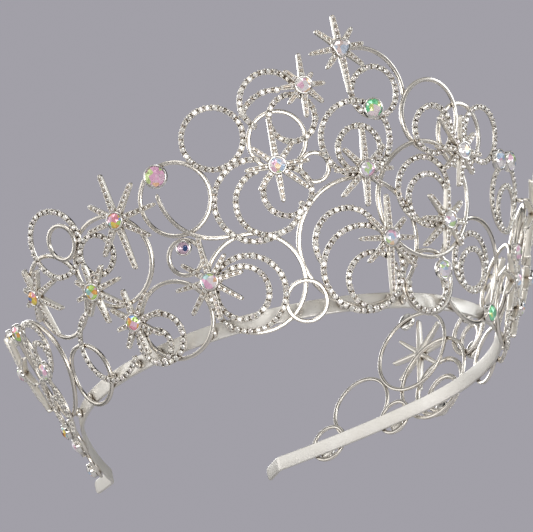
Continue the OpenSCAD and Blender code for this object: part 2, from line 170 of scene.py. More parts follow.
class Build:
    """Collects vertices and faces for one piece, in millimetres."""

    def __init__(self):
        self.points, self.faces, self.slots, self.smooth = [], [], [], []
        self.count = 0

    def add_faces(self, faces, slot, smooth):
        """Adds faces (m, k) of points counted from the piece's first."""
        self.faces.append(faces)
        self.slots.append(np.broadcast_to(slot, len(faces)))
        self.smooth.append(np.full(len(faces), smooth))

    def grid(self, points, close_rows, slot=0, flip=False):
        """Adds points (rows, columns, 3) as quads, closed round the columns. Slot may be one per column."""
        rows, columns = points.shape[:2]
        i, j = np.meshgrid(np.arange(rows if close_rows else rows - 1), np.arange(columns), indexing="ij")
        here, below, beside = i * columns, ((i + 1) % rows) * columns, (j + 1) % columns
        quads = np.stack([here + j, below + j, below + beside, here + beside], axis=-1).reshape(-1, 4)
        if flip:
            quads = quads[:, ::-1]
        if np.ndim(slot):
            slot = np.tile(slot, len(i))
        self.add_faces(quads + self.count, slot, True)
        self.points.append(points.reshape(-1, 3))
        self.count += rows * columns

    def cap(self, start, count):
        """Closes the loop of points that begins at start."""
        self.add_faces(np.arange(start, start + count)[None], 0, False)

    def many(self, template, places, sizes, slot=0, smooth=True):
        """Adds a template (points, faces) at places (centres, three axes), scaled by three sizes."""
        points, faces = template
        centres, *axes = places
        sizes = np.broadcast_to(np.transpose(sizes), (len(centres), 3))
        placed = np.einsum("pk,nk,nkj->npj", points, sizes, np.stack(axes, axis=1)) + centres[:, None, :]
        starts = self.count + np.arange(len(centres)) * len(points)
        for block in faces:
            self.add_faces((block + starts[:, None, None]).reshape(-1, block.shape[1]), slot, smooth)
        self.points.append(placed.reshape(-1, 3))
        self.count += len(centres) * len(points)

    def finish(self, name, materials, nodes, slot):
        """Makes the object, which replaces the given CAD nodes."""
        mesh = bpy.data.meshes.new(name)
        points = np.concatenate(self.points) * MM
        sizes = np.concatenate([np.full(len(f), f.shape[1]) for f in self.faces])
        corners = np.concatenate([f.ravel() for f in self.faces])
        mesh.vertices.add(len(points))
        mesh.vertices.foreach_set("co", points.ravel())
        mesh.loops.add(len(corners))
        mesh.loops.foreach_set("vertex_index", corners)
        mesh.polygons.add(len(sizes))
        mesh.polygons.foreach_set("loop_start", np.concatenate([[0], np.cumsum(sizes)[:-1]]))
        mesh.polygons.foreach_set("loop_total", sizes)
        mesh.polygons.foreach_set("material_index", np.concatenate(self.slots))
        mesh.polygons.foreach_set("use_smooth", np.concatenate(self.smooth))
        for material in materials:
            mesh.materials.append(material)
        mesh.update(calc_edges=True)
        mesh.validate()
        shape = bmesh.new()
        shape.from_mesh(mesh)
        bmesh.ops.recalc_face_normals(shape, faces=shape.faces)
        shape.to_mesh(mesh)
        shape.free()
        piece = bpy.data.objects.new(name, mesh)
        bpy.context.collection.objects.link(piece)
        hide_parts(*nodes)
        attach(piece, "root")


def sphere_template(around=8, stacked=5):
    """A ball of radius 1 with poles on z."""
    rings = [
        [math.sin(v) * math.cos(u), math.sin(v) * math.sin(u), math.cos(v)]
        for v in np.linspace(0, math.pi, stacked + 1)[1:-1]
        for u in circle(around)
    ]
    points = np.array([[0, 0, 1], *rings, [0, 0, -1]])
    last = len(points) - 1
    caps, sides = [], []
    for j in range(around):
        k = (j + 1) % around
        caps.append([0, 1 + j, 1 + k])
        caps.append([last, last - around + k, last - around + j])
        for i in range(stacked - 2):
            low = 1 + i * around
            sides.append([low + j, low + around + j, low + around + k, low + k])
    return points, [np.array(caps), np.array(sides)]


def gem_template(sides=8, table=0.56, crown=0.42, girdle=0.12):
    """A round cut stone of radius 1: table, two rows of crown facets and a girdle, base at z = 0."""
    ring, fine = circle(sides), circle(2 * sides)
    half = ring + math.pi / sides
    points = [[table * math.cos(a), table * math.sin(a), girdle + crown] for a in ring]
    points += [[0.8 * math.cos(a), 0.8 * math.sin(a), girdle + 0.62 * crown] for a in half]
    points += [[math.cos(a), math.sin(a), girdle] for a in fine]
    points += [[math.cos(a), math.sin(a), 0] for a in fine]
    t, m, g, b = 0, sides, 2 * sides, 4 * sides
    triangles, quads = [], []
    for i in range(sides):
        j = (i + 1) % sides
        before = (i - 1) % sides
        triangles.append([t + i, m + i, t + j])
        quads.append([t + i, m + before, g + 2 * i, m + i])
        triangles.append([m + i, g + 2 * i, g + 2 * i + 1])
        triangles.append([m + i, g + 2 * i + 1, g + (2 * i + 2) % (2 * sides)])
        for k in (2 * i, 2 * i + 1):
            n = (k + 1) % (2 * sides)
            quads.append([g + k, b + k, b + n, g + n])
    top = [list(range(t, t + sides))]
    return np.array(points), [np.array(triangles), np.array(quads), np.array(top)]


def collet_template(around=10):
    """A short round collet of radius 1 and height 0.62, open at the top, base at z = 0."""
    profile = [(0.7, 0), (0.94, 0.14), (1.0, 0.34), (0.93, 0.56), (0.82, 0.62), (0.74, 0.54)]
    angle = circle(around)
    points = np.array([(r * math.cos(a), r * math.sin(a), z) for r, z in profile for a in angle])
    quads = [
        [low + j, low + (j + 1) % around, low + around + (j + 1) % around, low + around + j]
        for low in range(0, (len(profile) - 1) * around, around)
        for j in range(around)
    ]
    caps = [list(range(around))[::-1], list(range((len(profile) - 1) * around, len(profile) * around))]
    return points, [np.array(quads), np.array(caps)]


BALL = sphere_template()
COLLET = collet_template()
GEM = gem_template()
BIG_GEM = gem_template(8, 0.5, 0.4, 0.1)


def box_section(half_width, half_depth, steps, roundness):
    """A rounded-box cross-section (steps, 2), centred."""
    angle = (np.arange(steps) + 0.5) * 2 * math.pi / steps
    corner = np.stack([np.cos(angle), np.sin(angle)], axis=-1)
    return np.array([half_width, half_depth]) * np.sign(corner) * np.abs(corner) ** roundness


def arc_points(radius, start=0, end=360, centre=(0, 0), spacing=0.55):
    """Centre line of an arc, with its outward normals, and whether it is closed."""
    closed = end - start >= 360
    count = max(12, int(math.radians(end - start) * radius / spacing))
    angle = np.radians(np.linspace(start, end, count, endpoint=not closed))
    normal = np.stack([np.cos(angle), np.sin(angle)], axis=-1)
    return np.array(centre) + radius * normal, normal, closed


UNEVEN = 0.05  # how far a drawn wire wanders in millimetres, and its width as a part of itself
WAVES = 3
ROUND_STEPS = 2.2  # how many steps of the path the rounding of an open end takes


def wander(count, closed):
    """A slow uneven variation along a path, from -UNEVEN to UNEVEN."""
    t = np.linspace(0, 2 * math.pi, count, endpoint=not closed)
    total = sum(np.sin(k * t + random.uniform(0, 2 * math.pi)) / k for k in range(1, WAVES + 1))
    return UNEVEN * total / WAVES


def sweep(build, face, path, section, lift, slot=0):
    """Sweeps a section along a path on the face. Section x is across the path and y is lift."""
    line, normal, closed = path
    count = len(line)
    width = np.ones(count)
    if not closed:
        run = np.minimum(np.arange(count), np.arange(count)[::-1]) + 0.15
        width = np.clip(np.sqrt(1 - (1 - np.clip(run / ROUND_STEPS, 0, 1)) ** 2), 0.12, 1)
    sway = wander(count, closed)
    thick = 1 + wander(count, closed)
    across = section[None, :, 0] * (width * thick)[:, None] + sway[:, None]
    depth = section[None, :, 1] * width[:, None]
    flat = line[:, None, :] + normal[:, None, :] * across[..., None]
    build.grid(face.at(flat[..., 0], flat[..., 1], lift + depth), closed, slot)
    if not closed:
        columns = len(section)
        build.cap(build.count - count * columns, columns)
        build.cap(build.count - columns, columns)


# ---------------------------------------------------------------- materials


class Wiring:
    """Adds and links the nodes of one material or world."""

    def __init__(self, owner, coordinates):
        owner.use_nodes = True
        self.nodes, self.links = owner.node_tree.nodes, owner.node_tree.links
        self.place = self.node("ShaderNodeTexCoord").outputs[coordinates]

    def node(self, kind, **values):
        made = self.nodes.new(kind)
        for key, value in values.items():
            setattr(made, key, value)
        return made

    def link(self, source, target):
        self.links.new(source, target)

    def noise(self, scale, detail=3.0, roughness=0.5, stretch=None):
        """Noise whose scale is in features per unit of the coordinates."""
        made = self.node("ShaderNodeTexNoise")
        made.inputs["Scale"].default_value = scale
        made.inputs["Detail"].default_value = detail
        made.inputs["Roughness"].default_value = roughness
        source = self.place
        if stretch:
            mapping = self.node("ShaderNodeMapping")
            mapping.inputs["Scale"].default_value = stretch
            self.link(self.place, mapping.inputs["Vector"])
            source = mapping.outputs["Vector"]
        self.link(source, made.inputs["Vector"])
        return made

    def ramp(self, source, *stops):
        """A colour ramp through (position, colour) stops."""
        made = self.node("ShaderNodeValToRGB")
        elements = made.color_ramp.elements
        for index, (position, colour) in enumerate(stops):
            element = elements[index] if index < 2 else elements.new(position)
            element.position = position
            element.color = (*colour, 1)
        self.link(source, made.inputs["Fac"])
        return made.outputs["Color"]

    def steps(self, source, *stops):
        """A colour ramp whose colours meet without blending."""
        colour = self.ramp(source, *stops)
        colour.node.color_ramp.interpolation = "CONSTANT"
        return colour

    def cells(self, scale):
        """Random values, constant over irregular cells."""
        cell = self.node("ShaderNodeTexVoronoi")
        cell.inputs["Scale"].default_value = scale
        self.link(self.place, cell.inputs["Vector"])
        apart = self.node("ShaderNodeSeparateColor")
        self.link(cell.outputs["Color"], apart.inputs["Color"])
        return apart

    def between(self, source, low, high):
        """Maps a noise value, mostly from 0.25 to 0.75, onto low to high."""
        made = self.node("ShaderNodeMapRange")
        made.inputs["From Min"].default_value = 0.25
        made.inputs["From Max"].default_value = 0.75
        made.inputs["To Min"].default_value = low
        made.inputs["To Max"].default_value = high
        self.link(source, made.inputs["Value"])
        return made.outputs["Result"]

    def multiply(self, first, second):
        made = self.node("ShaderNodeMix", data_type="RGBA", blend_type="MULTIPLY")
        made.inputs["Factor"].default_value = 1.0
        self.link(first, made.inputs["A"])
        self.link(second, made.inputs["B"])
        return made.outputs["Result"]


class Look(Wiring):
    """One node material, on the object's own coordinates in metres."""

    def __init__(self, name):
        self.material = bpy.data.materials.new(name)
        super().__init__(self.material, "Object")
        self.shader = self.nodes["Principled BSDF"]

    def set(self, **values):
        for key, value in values.items():
            self.shader.inputs[key.replace("_", " ")].default_value = value

    def paint(self, colour):
        self.link(colour, self.shader.inputs["Base Color"])

    def clouded(self, scale, detail, low, high):
        """Cloudy colour from low to high."""
        cloud = self.noise(scale, detail, 0.6)
        return self.ramp(cloud.outputs["Fac"], (0.3, low), (0.7, high))

    def shaded_corners(self, colour, distance, dark):
        """Darkens the colour where the metal is crowded: painted shade in the corners."""
        near = self.node("ShaderNodeAmbientOcclusion", samples=6)
        near.inputs["Distance"].default_value = distance * MM
        tint = self.ramp(near.outputs["AO"], (0.3, dark), (0.8, (1, 1, 1)))
        return self.multiply(colour, tint)

    def bump(self, height, distance, normal=None):
        made = self.node("ShaderNodeBump")
        made.inputs["Strength"].default_value = 1.0
        made.inputs["Distance"].default_value = distance * MM
        self.link(height, made.inputs["Height"])
        if normal:
            self.link(normal, made.inputs["Normal"])
        return made.outputs["Normal"]


def polished_silver(name, light, dark, rough, corner):
    """Bright plated metal with faint waviness, fine wear and painted shade darkening its corners."""
    look = Look(name)
    look.set(Metallic=1.0)
    look.paint(look.shaded_corners(look.clouded(180, 4, dark, light), 1.2, corner))
    wear = look.noise(2600, 3, 0.65)
    look.link(look.between(wear.outputs["Fac"], *rough), look.shader.inputs["Roughness"])
    ripple = look.noise(700, 2, 0.5)
    fine = look.bump(wear.outputs["Fac"], 0.006)
    look.link(look.bump(ripple.outputs["Fac"], 0.035, fine), look.shader.inputs["Normal"])
    return look.material


def satin_strip():
    """The strip's flat metal, with fine lines that run round the band."""
    look = Look("strip_satin")
    look.set(Metallic=1.0)
    colour = look.clouded(90, 4, (0.84, 0.82, 0.78), (0.92, 0.905, 0.88))
    # Painted shade: the colour darkens where the metal is crowded.
    look.paint(look.shaded_corners(colour, 1.5, (0.5, 0.46, 0.42)))
    grain = look.noise(500, 4, 0.6, stretch=(1, 1, 9))
    look.link(look.between(grain.outputs["Fac"], 0.4, 0.52), look.shader.inputs["Roughness"])
    look.link(look.bump(grain.outputs["Fac"], 0.02), look.shader.inputs["Normal"])
    return look.material


def small_stones():
    """Foil-backed white stones, too small to show their colours as more than a tint."""
    look = Look("small_stones")
    look.set(Metallic=0.7, Roughness=0.16, IOR=1.7, Coat_Weight=0.35, Coat_Roughness=0.06)
    colour = look.ramp(
        look.cells(900).outputs["Red"],
        (0.0, (0.92, 0.90, 0.86)),
        (0.45, (0.86, 0.83, 0.78)),
        (0.7, (0.92, 0.85, 0.85)),
        (0.85, (0.87, 0.88, 0.87)),
        (1.0, (0.92, 0.89, 0.77)),
    )
    look.paint(colour)
    return look.material


def iridescent_stone(name, *patches):
    """A clear stone with a rainbow coating, whose patches meet without blending."""
    look = Look(name)
    look.set(Metallic=0.25, Roughness=0.06, IOR=1.75, Coat_Weight=0.8, Coat_Roughness=0.02)
    patch = look.steps(look.cells(600).outputs["Green"], *patches)
    look.paint(look.multiply(patch, look.clouded(1500, 3, (0.84, 0.84, 0.86), (1.0, 1.0, 1.0))))
    return look.material


def plain_stone(name, colour):
    """A small stone or enamel of one hue, a little cloudy."""
    look = Look(name)
    look.set(Metallic=0.3, Roughness=0.08, IOR=1.6, Coat_Weight=0.8, Coat_Roughness=0.03)
    look.paint(look.clouded(900, 3, tuple(0.6 * c for c in colour), colour))
    return look.material


# Each: name, light and dark colour, least and most roughness, painted shade colour in crowded corners
SILVER, STAR, CUP, BEAD, RECESS_SHADE, STAR_RECESS_SHADE = (
    polished_silver(*values)
    for values in [
        ("wire_silver", (0.92, 0.885, 0.83), (0.80, 0.76, 0.70), (0.17, 0.30), (0.34, 0.28, 0.22)),
        ("star_silver", (0.97, 0.94, 0.89), (0.88, 0.85, 0.79), (0.28, 0.44), (0.42, 0.36, 0.29)),
        ("cup_silver", (0.94, 0.93, 0.91), (0.84, 0.82, 0.79), (0.06, 0.16), (0.38, 0.34, 0.30)),
        ("bead_silver", (0.90, 0.875, 0.83), (0.80, 0.77, 0.71), (0.22, 0.38), (0.32, 0.26, 0.20)),
        # The two recess metals are darker all over: painted shade for the grooves they line.
        ("recess_painted_shade", (0.62, 0.56, 0.49), (0.42, 0.37, 0.31), (0.3, 0.5), (0.20, 0.16, 0.13)),
        ("star_recess_painted_shade", (0.56, 0.50, 0.43), (0.36, 0.31, 0.26), (0.3, 0.5), (0.16, 0.13, 0.11)),
    ]
)
STRIP = satin_strip()
SMALL_STONE = small_stones()
VIVID_STONE = iridescent_stone(
    "vivid_stone",
    (0.0, (1.0, 0.42, 0.52)),
    (0.12, (1.0, 0.50, 0.12)),
    (0.27, (1.0, 0.80, 0.14)),
    (0.40, (0.98, 0.96, 0.92)),
    (0.52, (0.56, 0.86, 0.22)),
    (0.62, (0.28, 0.50, 1.0)),
    (0.73, (1.0, 0.66, 0.82)),
    (0.84, (0.50, 0.88, 0.84)),
    (0.92, (0.98, 0.95, 0.97)),
)
PALE_STONE = iridescent_stone(
    "pale_stone",
    (0.0, (0.98, 0.95, 0.97)),
    (0.20, (1.0, 0.62, 0.80)),
    (0.33, (0.93, 0.87, 0.98)),
    (0.48, (0.68, 0.92, 0.46)),
    (0.59, (0.98, 0.96, 0.94)),
    (0.72, (0.62, 0.78, 1.0)),
    (0.82, (0.97, 0.94, 0.97)),
    (0.92, (1.0, 0.72, 0.48)),
)
PEAK_STONE = iridescent_stone(
    "peak_stone",
    (0.0, (1.0, 0.95, 0.97)),
    (0.50, (0.74, 0.84, 1.0)),
    (0.64, (1.0, 0.94, 0.97)),
    (0.84, (1.0, 0.82, 0.78)),
)
GREEN_STONE = iridescent_stone(
    "green_stone",
    (0.0, (0.24, 0.88, 0.44)),
    (0.44, (1.0, 0.86, 0.90)),
    (0.68, (0.80, 0.96, 0.36)),
    (0.82, (0.40, 0.92, 0.60)),
)
BLUSH_STONE = iridescent_stone(
    "blush_stone",
    (0.0, (1.0, 0.56, 0.80)),
    (0.30, (0.74, 0.92, 0.40)),
    (0.44, (1.0, 0.92, 0.96)),
    (0.62, (1.0, 0.60, 0.36)),
    (0.74, (0.60, 0.90, 0.90)),
    (0.84, (1.0, 0.70, 0.86)),
)
DARK_STONE = plain_stone("dark_blue_stone", (0.04, 0.10, 0.30))
PINK_FOIL = plain_stone("pink_foil", (0.92, 0.68, 0.84))

# ---------------------------------------------------------------- wires and stone-set wires

PLAIN_SECTION = box_section(WIRE_HALF, LAYER / 2, 16, 0.6)


def plain_wire(build, along, up, layer, radius, start=0, end=360):
    face = Face(along, up)
    sweep(build, face, arc_points(radius, start, end), PLAIN_SECTION, (layer + 0.5) * LAYER)


def plain_node(node, *wires, mirrored=False):
    """One plain node: each wire is (along, up, layer, radius) with an optional start and end angle."""
    build = Build()
    for wire in wires:
        plain_wire(build, *wire)
        if mirrored:
            plain_wire(build, -wire[0], *wire[1:])
    build.finish(node + "_wire", [SILVER], [node], "plain_wire")


COLLET_PITCH = 2.05
COLLET_SINK = 0.55  # from the stones' lift down to a collet's foot
COLLET_TILT = 0.12
SEAT_HEIGHT = 0.56  # as a part of the collet's height
EDGE_SINK = 0.12  # from the stones' lift down to an edge bead's middle


def set_stones(build, face, line, normal, closed, lift, width):
    """A chain of round collets along a line, each with a cut stone, and beads in the notches between."""
    steps = np.linalg.norm(np.diff(line, axis=0, append=line[:1] if closed else line[-1:]), axis=1)
    travelled = np.concatenate([[0], np.cumsum(steps)])
    length = travelled[-1]
    count = max(3, round(length / COLLET_PITCH))
    at = (np.arange(count) + 0.5) * length / count
    at = at + random.uniform(-0.07, 0.07, count) * COLLET_PITCH
    looped = np.vstack([line, line[:1]]) if closed else line
    outward = np.vstack([normal, normal[:1]]) if closed else normal
    marks = travelled[: len(looped)]

    def along_line(distance):
        point, side = (
            np.stack([np.interp(distance, marks, column) for column in values.T], axis=-1)
            for values in (looped, outward)
        )
        return point, unit(side)

    point, side = along_line(at)
    point = point + side * random.normal(0, 0.03, (count, 1))
    here, x_axis, y_axis, z_axis = face.axes(point, lift - COLLET_SINK)
    tip = random.normal(0, COLLET_TILT, (count, 2))
    z_axis = unit(z_axis + tip[:, :1] * x_axis + tip[:, 1:] * y_axis)
    across = side[:, :1] * x_axis + side[:, 1:] * y_axis
    across = unit(across - np.sum(across * z_axis, axis=1, keepdims=True) * z_axis)
    axes = (across, np.cross(across, z_axis), z_axis)
    half = width * random.uniform(0.86, 1.08, count)
    run = COLLET_PITCH * random.uniform(0.43, 0.49, count)
    high = random.uniform(0.9, 1.12, count)
    build.many(COLLET, (here, *axes), [half, run, high], SLOT_BEAD)
    seat = here + z_axis * (SEAT_HEIGHT * high)[:, None]
    build.many(GEM, (seat, *axes), [0.76 * half, 0.78 * run, 0.5 * half], SLOT_STONE, False)
    bulge = 1 + 0.2 * np.sin(at / length * 2 * math.pi * 2 + random.uniform(0, 6))
    for edge in (-1, 1):
        middle = at + length / count / 2 + random.uniform(-0.08, 0.08, count)
        middle = middle % length if closed else np.minimum(middle, length * 0.99)
        point, side = along_line(middle)
        radius = width * random.uniform(0.2, 0.4, count) * bulge
        flat = point + side * (edge * (width - radius * 0.75))[:, None]
        high = radius * random.uniform(0.85, 1.2, count)
        build.many(BALL, face.axes(flat, lift - EDGE_SINK), [radius, radius, high], SLOT_BEAD)


def channel(half_width, low, high, groove, sink):
    """A rounded bar's cross-section with a shallow groove on its front, and its faces' slots."""
    lip = (half_width + groove) / 2
    rise = high - low
    right = [
        (0.62 * half_width, low),
        (0.92 * half_width, low + 0.12 * rise),
        (half_width, low + 0.35 * rise),
        (half_width, high - 0.25 * rise),
        (0.97 * half_width, high - 0.1 * rise),
        (lip, high),
        (groove, high - sink / 2),
        (0.8 * groove, high - sink),
    ]
    left = [(-x, y) for x, y in right[::-1]]
    points = [left[-1], *right, *left[:-1]]
    # The groove's faces take the bed slot, whose darker metal is painted shade.
    slots = [SLOT_SHADED_BED if 7 <= index <= 9 else SLOT_METAL for index in range(len(points))]
    return np.array(points), np.array(slots)


RAIL, RAIL_SLOTS = channel(0.8 * CRYSTAL_HALF, 0.02, 0.74 * LAYER, 0.62 * CRYSTAL_HALF, 0.2)


def stone_set_arc(build, face, layer, radius, centre=(0, 0), start=0, end=360):
    """A stone-set wire: a rail whose bed is darkened as painted shade, a row of stones and two rows of beads.
    """
    line, normal, closed = arc_points(radius, start, end, centre, 0.5)
    sweep(build, face, (line, normal, closed), RAIL, layer * LAYER, RAIL_SLOTS)
    set_stones(build, face, line, normal, closed, (layer + 0.88) * LAYER, CRYSTAL_HALF)


def crystal_node(node, *groups, mirrored=False):
    """One stone-set node. Each group is (along, up, layer) and its arcs (radius, centre, start, end)."""
    build = Build()
    for along, up, layer, arcs in groups:
        for side in (1, -1) if mirrored else (1,):
            face = Face(side * along, up)
            for radius, centre, start, end in arcs:
                if side < 0:
                    centre = (-centre[0], centre[1])
                    start, end = 180 - end, 180 - start
                stone_set_arc(build, face, layer, radius, centre, start, end)
    build.finish(node + "_set", [SILVER, RECESS_SHADE, SMALL_STONE, BEAD], [node], "stone_set_wire")


def whole(radius, centre=(0, 0)):
    return (radius, centre, 0, 360)


# ---------------------------------------------------------------- cups and stones


VIVID, PALE, PEAK, GREEN, BLUSH, FOIL, DARK = range(7)
STONES = [VIVID_STONE, PALE_STONE, PEAK_STONE, GREEN_STONE, BLUSH_STONE, PINK_FOIL, DARK_STONE]


def heart(angle, depth):
    """A three-cornered outline, with one corner downward."""
    return 1 + depth * np.cos(3 * (angle + math.pi / 2))


LATHE_STEPS = 40


def lathe(build, face, lift, profile, slot, depth=0.0):
    """Turns a profile of (radius, height) about the outward axis at the face's own place."""
    angle = circle(LATHE_STEPS)
    radius, height = np.array(profile, float).T
    reach = radius[:, None] * heart(angle, depth)
    points = (
        face.origin
        + (reach * np.cos(angle))[..., None] * face.x
        + (reach * np.sin(angle))[..., None] * face.y
        + (lift + height)[:, None, None] * face.z
    )
    build.grid(points, False, slot, flip=True)


def cup_profile(radius):
    """A thin-walled cup with a rounded lip that closes a little over its stone."""
    wall = radius + CUP_WALL
    top = CUP_FLOOR + SEAT_DEPTH
    return [
        (0, 0),
        (wall - 0.5, 0),
        (wall - 0.12, 0.1),
        (wall - 0.02, 0.4),
        (wall, top - 0.35),
        (wall - 0.03, top - 0.12),
        (wall - 0.16, top),
        (radius + 0.02, top),
        (radius - 0.12, top - 0.12),
        (radius - 0.14, top - 0.3),
        (radius - 0.14, CUP_FLOOR),
        (0, CUP_FLOOR),
    ]


def stone_at(build, face, lift, radius, slot, depth=0.0):
    """A faceted stone in its cup."""
    girdle = CUP_FLOOR + SEAT_DEPTH - 0.35
    turn = 0 if depth else random.uniform(0, math.pi)
    points, faces = BIG_GEM
    outline = heart(np.arctan2(points[:, 1], points[:, 0]), depth)
    points = points * np.stack([outline, outline, np.ones(len(points))], axis=1)
    first = math.cos(turn) * face.x + math.sin(turn) * face.y
    place = alone(face.origin + face.z * (lift + girdle), first, np.cross(face.z, first), face.z)
    size = radius - 0.1
    build.many((points, faces), place, (size, size, size * 0.95), slot, False)


# ---------------------------------------------------------------- stars

RAY_WIDTH = 2.1
RAY_TIP = 1.25
RAY_NOSE = 0.9  # length of a ray's rounded tip
RAY_STONE_PITCH = 1.5
LAST_STONE = 0.75  # from a ray's tip to its last stone
HUB = 2.6

RAY_SECTION, RAY_SLOTS = channel(1.0, 0.0, 1.0, 0.66, 0.08)


def ray(build, face, layer, angle, length):
    """One tapered ray with a rounded tip, a groove darkened as painted shade, and a row of stones."""
    low = layer * LAYER
    direction = np.array([math.cos(angle), math.sin(angle)])
    normal = np.array([-direction[1], direction[0]])
    straight = np.linspace(0, length - RAY_NOSE, 10)
    rounded = length - RAY_NOSE + RAY_NOSE * np.sin(np.radians([20, 40, 60, 75, 88]))
    steps = np.concatenate([straight, rounded])

    def half_width(distance):
        return (RAY_WIDTH + (RAY_TIP - RAY_WIDTH) * distance / length) / 2

    def depth(distance):
        return STAR_DEPTH * (1 - 0.22 * (distance / length) ** 1.5)

    close = np.sqrt(1 - np.clip((steps - length + RAY_NOSE) / RAY_NOSE, 0, 1) ** 2)
    flat = normal * (RAY_SECTION[None, :, 0] * (half_width(steps) * close)[:, None])[..., None]
    flat = flat + (steps[:, None] * direction)[:, None, :]
    rise = RAY_SECTION[None, :, 1] * (depth(steps) * (0.55 + 0.45 * close))[:, None]
    build.grid(face.at(flat[..., 0], flat[..., 1], low + 0.02 + rise), False, RAY_SLOTS)
    build.cap(build.count - len(RAY_SECTION), len(RAY_SECTION))
    first = STAR_STONE + 0.95
    count = max(2, round((length - first - 0.4) / RAY_STONE_PITCH))
    at = np.linspace(first, length - LAST_STONE, count)
    wide = half_width(at)
    top = low + depth(at)
    spot = at[:, None] * direction + random.uniform(-0.04, 0.04, (count, 2))
    size = wide * random.uniform(0.60, 0.72, count)
    build.many(GEM, face.axes(spot, top - 0.16), [size, size, size * 0.9], SLOT_STONE, False)
    pitch = (length - LAST_STONE - first) / max(1, count - 1)
    for edge in (-1, 1):
        radius = wide * random.uniform(0.34, 0.5, count)
        between = at - pitch / 2 + random.uniform(-0.06, 0.06, count)
        spot = between[:, None] * direction + normal * (edge * (half_width(between) - radius * 0.8))[:, None]
        build.many(BALL, face.axes(spot, top - radius * 0.35), [radius, radius, radius * 1.1], SLOT_BEAD)


def star(build, stones, along, up, layer, rays, tilt, colour, depth=0.0):
    face = Face(along, up)
    for index, length in enumerate(rays):
        ray(build, face, layer, math.radians(90 + tilt - 45 * index), length)
    lift = layer * LAYER + STAR_DEPTH - HUB_SINK
    foot = HUB_SINK - STAR_DEPTH + 0.1
    hub = [(0, foot), (HUB - 0.5, foot), (HUB, -0.2), (HUB, 0.3), (0, 0.3)]
    lathe(build, face, lift, hub, SLOT_METAL)
    lathe(build, face, lift, cup_profile(STAR_STONE), SLOT_CUP, depth)
    stone_at(stones, face, lift, STAR_STONE, colour, depth)


def star_node(node, stones, place, rays, tilt=0, mirrored=False, colour=PALE, depth=0.0):
    """One star node at place (along, up, layer), or a pair with the second mirrored."""
    build = Build()
    along, up, layer = place
    star(build, stones, along, up, layer, rays, tilt, colour, depth)
    if mirrored:
        turned = [rays[0], *rays[:0:-1]]
        star(build, stones, -along, up, layer, turned, -tilt, PALE)
    build.finish(node + "_set", [STAR, STAR_RECESS_SHADE, SMALL_STONE, BEAD, CUP], [node], "star_metal")


# ---------------------------------------------------------------- the strip and its solder


def strip_line():
    """The right half of the strip's outer face in plan, with its outward normals, front to tip."""
    end = ARC_HALF_ANGLE + ARM_LENGTH / ARM_RADIUS
    knee = ARM_CENTRE + (ARM_RADIUS + KNEE_RADIUS) * facing(end)
    bends = [
        (np.zeros(2), BAND_RADIUS, 0, ARC_HALF_ANGLE, 90),
        (ARM_CENTRE, ARM_RADIUS, ARC_HALF_ANGLE, end, 24),
        (knee, -KNEE_RADIUS, end, end - TIP_TURN, 12),
    ]
    points, normals = [], []
    for centre, radius, start, stop, count in bends:
        for turn in np.linspace(start, stop, count, endpoint=False):
            normals.append(facing(turn))
            points.append(centre + radius * normals[-1])
    turn = end - TIP_TURN
    normal = facing(turn)
    forward = np.array([math.cos(turn), math.sin(turn)])
    bend = knee - KNEE_RADIUS * normal
    corner = STRIP_HEIGHT / 2
    rounded = TIP_LENGTH - corner + corner * np.sin(np.radians([12, 24, 36, 48, 60, 70, 80, 86]))
    for run in [*np.linspace(0, TIP_LENGTH - corner, 8), *rounded]:
        normals.append(normal)
        points.append(bend + run * forward)
    return np.array(points), np.array(normals)


def strip_section(steps=4):
    """The strip's cross-section: x inward from the outer face, y up."""
    inner, outer = STRIP_ROUND - STRIP_THICKNESS, -STRIP_ROUND
    low, high = STRIP_ROUND, STRIP_HEIGHT - STRIP_ROUND
    corners = [(inner, low, 180), (outer, low, 270), (outer, high, 0), (inner, high, 90)]
    return np.array(
        [
            (x + STRIP_ROUND * math.cos(angle), y + STRIP_ROUND * math.sin(angle))
            for x, y, start in corners
            for angle in np.radians(np.linspace(start, start + 90, steps + 1))
        ]
    )


def build_strip():
    points, normals = strip_line()
    mirror = np.array([-1, 1])
    points = np.concatenate([points[:0:-1] * mirror, points])
    normals = np.concatenate([normals[:0:-1] * mirror, normals])
    run = np.linalg.norm(points - points[0], axis=1)
    run = np.minimum(run, run[::-1])
    corner = STRIP_HEIGHT / 2
    near = np.clip(1 - run / corner, 0, 1)
    squeeze = np.sqrt(1 - near**4)
    section = strip_section()
    flat = points[:, None, :] + normals[:, None, :] * section[None, :, 0, None]
    high = corner + (section[None, :, 1] - corner) * (0.35 + 0.65 * squeeze)[:, None]
    solid = np.concatenate([flat, high[..., None]], axis=-1)
    build = Build()
    build.grid(solid, False)
    build.cap(0, len(section))
    build.cap(build.count - len(section), len(section))
    build.finish("strip_band", [STRIP], ["strip"], "strip_metal")


def lump(build, place, size):
    """A smooth lump of solder, a little uneven."""
    points, faces = LUMP
    uneven = 1 + 0.06 * random.normal(0, 1, (len(points), 1)).clip(-1.5, 1.5)
    build.many((points * uneven, faces), alone(*place), size)


def solder_wedge(build, along, layer):
    """Solder between the upright strip and a layer of the leaning face."""
    face = Face(along, 0)
    outward = np.array([face.z[0], face.z[1], 0]) / math.cos(LEAN)
    up = np.array([0, 0, 1.0])
    height = STRIP_HEIGHT / 2
    gap = height * math.tan(LEAN) + layer * LAYER / math.cos(LEAN)
    centre = face.origin + outward * gap / 2 + up * height
    size = (WEDGE_HALF, height * 0.72, gap / 2 + 0.25)
    lump(build, (centre, face.x, (face.y + up) / 2, outward), size)


def solder_bead(build, along, up, low, high):
    """A bead that joins two pieces across a gap of one or more layers."""
    face = Face(along, up)
    centre = face.at(0, 0, ((low + 1) + high) / 2 * LAYER)
    half = (high - low - 1) / 2 * LAYER + 0.3
    lump(build, (centre, face.x, face.y, face.z), (BEAD_HALF, BEAD_HALF, half))


LUMP = sphere_template(14, 10)
WEDGE_HALF = 0.85
BEAD_HALF = 0.72

